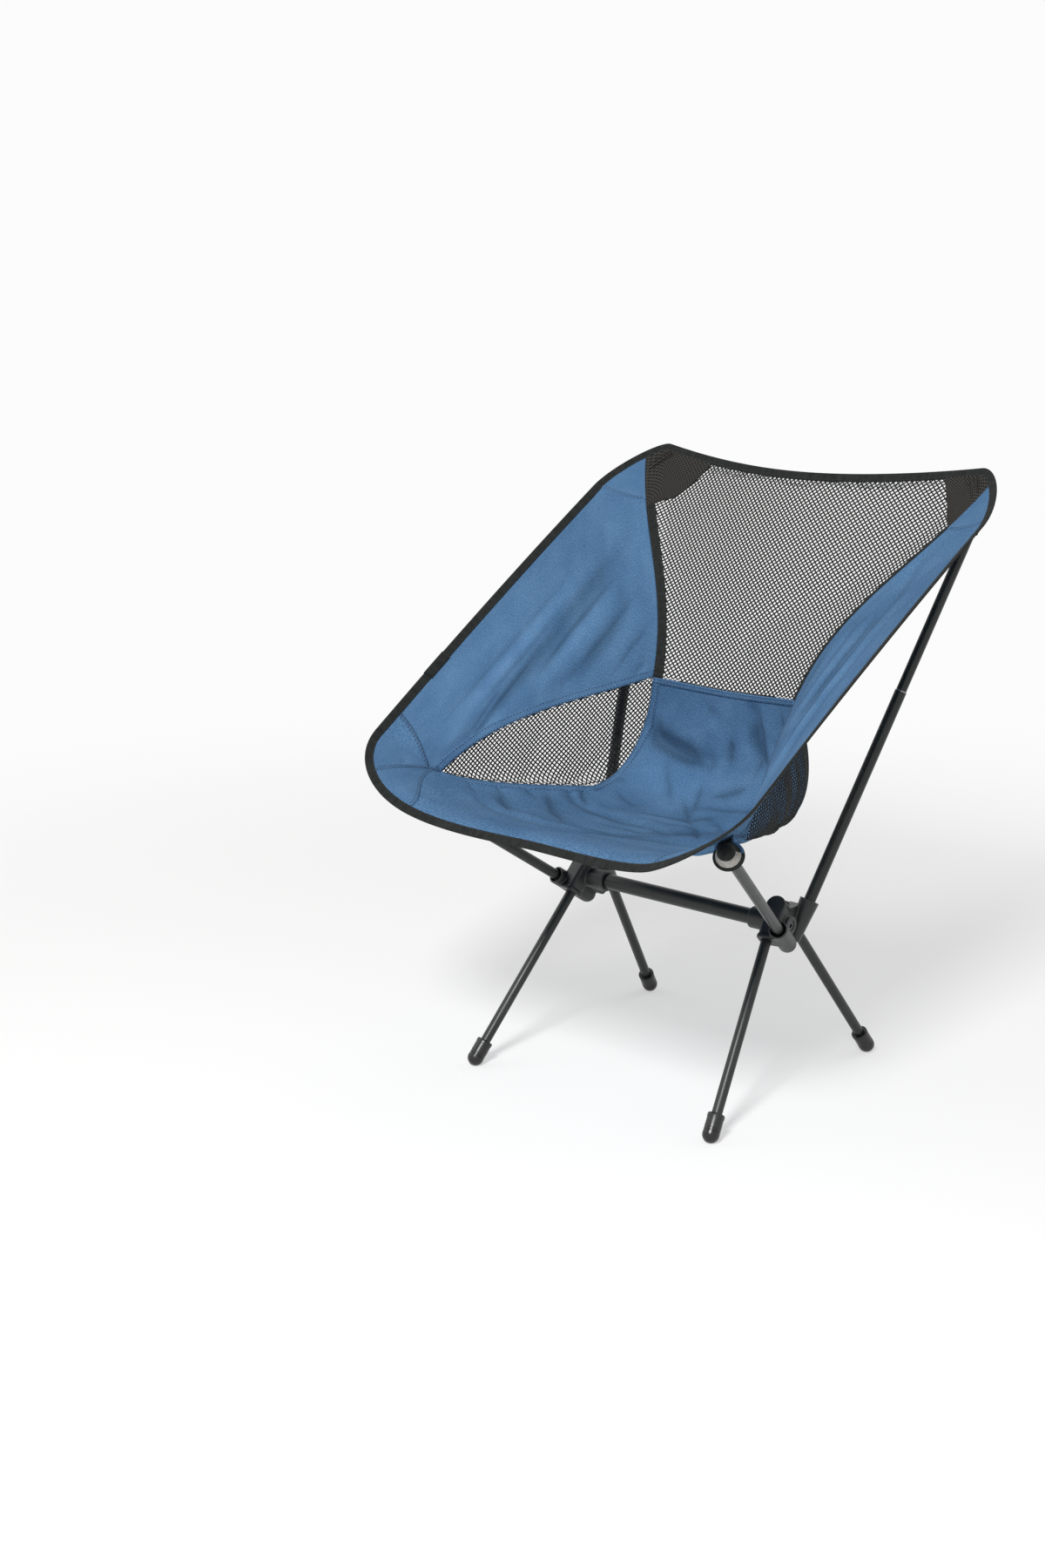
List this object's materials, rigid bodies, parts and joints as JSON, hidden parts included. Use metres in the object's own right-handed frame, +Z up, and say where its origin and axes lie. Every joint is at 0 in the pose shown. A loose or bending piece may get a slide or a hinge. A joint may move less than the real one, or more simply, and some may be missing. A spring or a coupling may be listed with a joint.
{
  "type": "ultralight backpacking chair",
  "caption": "Low packable camp chair: pole legs and uprights plugged into moulded hubs on a crossbar carry a bucket sling of woven panels with a net back and net side windows.",
  "frame": {"origin": "on the floor under the middle of the chair's overall box", "axes": "+Z up, -Y towards the front of the seat, +X to the right for a viewer facing the front"},
  "size_m": [0.5262, 0.5383, 0.6659],
  "materials": {
    "painted_pole": "satin",
    "hub_nylon": "satin",
    "screw_steel": "satin",
    "foot_rubber": "satin",
    "tip_nylon": "satin",
    "elastic_cord": "matte",
    "blue_cloth": "matte",
    "black_net": "matte",
    "black_webbing": "matte"
  },
  "bodies": {
    "frame": {"crossbar_tube": "painted_pole", "crossbar_plug_left": "hub_nylon", "crossbar_plug_right": "hub_nylon", "crossbar_screw_left": "screw_steel", "crossbar_screw_right": "screw_steel", "hub_left": "hub_nylon", "hub_right": "hub_nylon", "front_leg_cord_left": "elastic_cord", "front_leg_cord_right": "elastic_cord", "rear_leg_cord_left": "elastic_cord", "rear_leg_cord_right": "elastic_cord", "arm_pole_left": "painted_pole", "arm_pole_right": "painted_pole", "arm_tip_left": "tip_nylon", "arm_tip_right": "tip_nylon", "arm_cord_left": "elastic_cord", "arm_cord_right": "elastic_cord", "back_pole_lower_left": "painted_pole", "back_pole_lower_right": "painted_pole", "back_pole_upper_left": "painted_pole", "back_pole_upper_right": "painted_pole", "back_tip_left": "tip_nylon", "back_tip_right": "tip_nylon", "back_cord_left": "elastic_cord", "back_cord_right": "elastic_cord", "seat_panel": "blue_cloth", "back_net": "black_net", "wing_left": "blue_cloth", "wing_right": "blue_cloth", "side_net_left": "black_net", "side_net_right": "black_net", "binding_top": "black_webbing", "binding_left": "black_webbing", "binding_right": "black_webbing", "binding_front": "black_webbing", "arm_pocket_left": "blue_cloth", "arm_pocket_right": "blue_cloth", "back_pocket_left": "black_webbing", "back_pocket_right": "black_webbing"},
    "front_leg_left_body": {"front_leg_left": "painted_pole", "front_foot_left": "foot_rubber"},
    "front_leg_right_body": {"front_leg_right": "painted_pole", "front_foot_right": "foot_rubber"},
    "rear_leg_left_body": {"rear_leg_left": "painted_pole", "rear_foot_left": "foot_rubber"},
    "rear_leg_right_body": {"rear_leg_right": "painted_pole", "rear_foot_right": "foot_rubber"}
  },
  "joints": [
    {"name": "front_leg_left_pull", "type": "slide", "parent": "frame", "child": "front_leg_left_body", "axis": [-0.1287, -0.6219, -0.7724], "range_m": [0, 0.04], "stiffness_N_per_m": 100, "springref_m": -0.1},
    {"name": "front_leg_right_pull", "type": "slide", "parent": "frame", "child": "front_leg_right_body", "axis": [0.1287, -0.6219, -0.7724], "range_m": [0, 0.04], "stiffness_N_per_m": 100, "springref_m": -0.1},
    {"name": "rear_leg_left_pull", "type": "slide", "parent": "frame", "child": "rear_leg_left_body", "axis": [-0.1366, 0.5748, -0.8068], "range_m": [0, 0.04], "stiffness_N_per_m": 100, "springref_m": -0.1},
    {"name": "rear_leg_right_pull", "type": "slide", "parent": "frame", "child": "rear_leg_right_body", "axis": [0.1366, 0.5748, -0.8068], "range_m": [0, 0.04], "stiffness_N_per_m": 100, "springref_m": -0.1}
  ]
}
